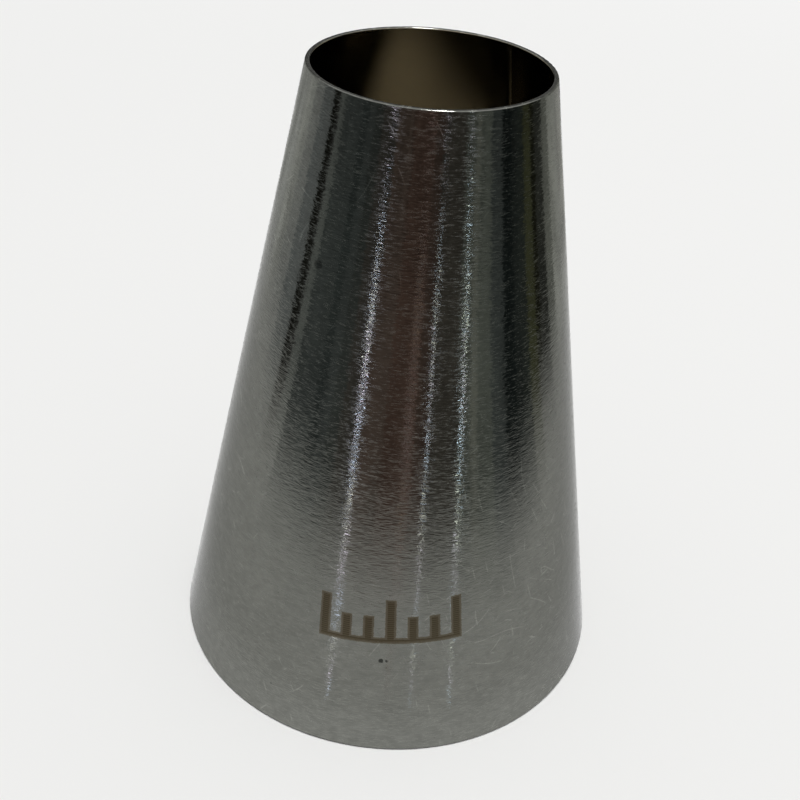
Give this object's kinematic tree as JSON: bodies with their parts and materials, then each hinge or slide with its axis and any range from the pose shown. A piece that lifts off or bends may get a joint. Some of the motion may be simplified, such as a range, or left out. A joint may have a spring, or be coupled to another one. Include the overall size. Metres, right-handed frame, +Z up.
{
  "type": "piping nozzle",
  "caption": "Plain round piping nozzle: a rolled and welded steel cone, open at both ends, for pressing icing or dough through its tip.",
  "frame": {"origin": "centre of the base rim, on the surface that the nozzle stands on", "axes": "+Z up along the cone's axis towards the tip; -Y towards the side with the etched mark; the seam lies 49 degrees from +X towards +Y"},
  "size_m": [0.0348, 0.0348, 0.0475],
  "materials": {
    "brushed_steel": "finely brushed round the cone, satin",
    "weld_steel": "smooth fused bead inside, ground flush and brushed outside"
  },
  "bodies": {
    "root": {"cone_shell": "brushed_steel", "seam_weld": "weld_steel"}
  },
  "joints": []
}
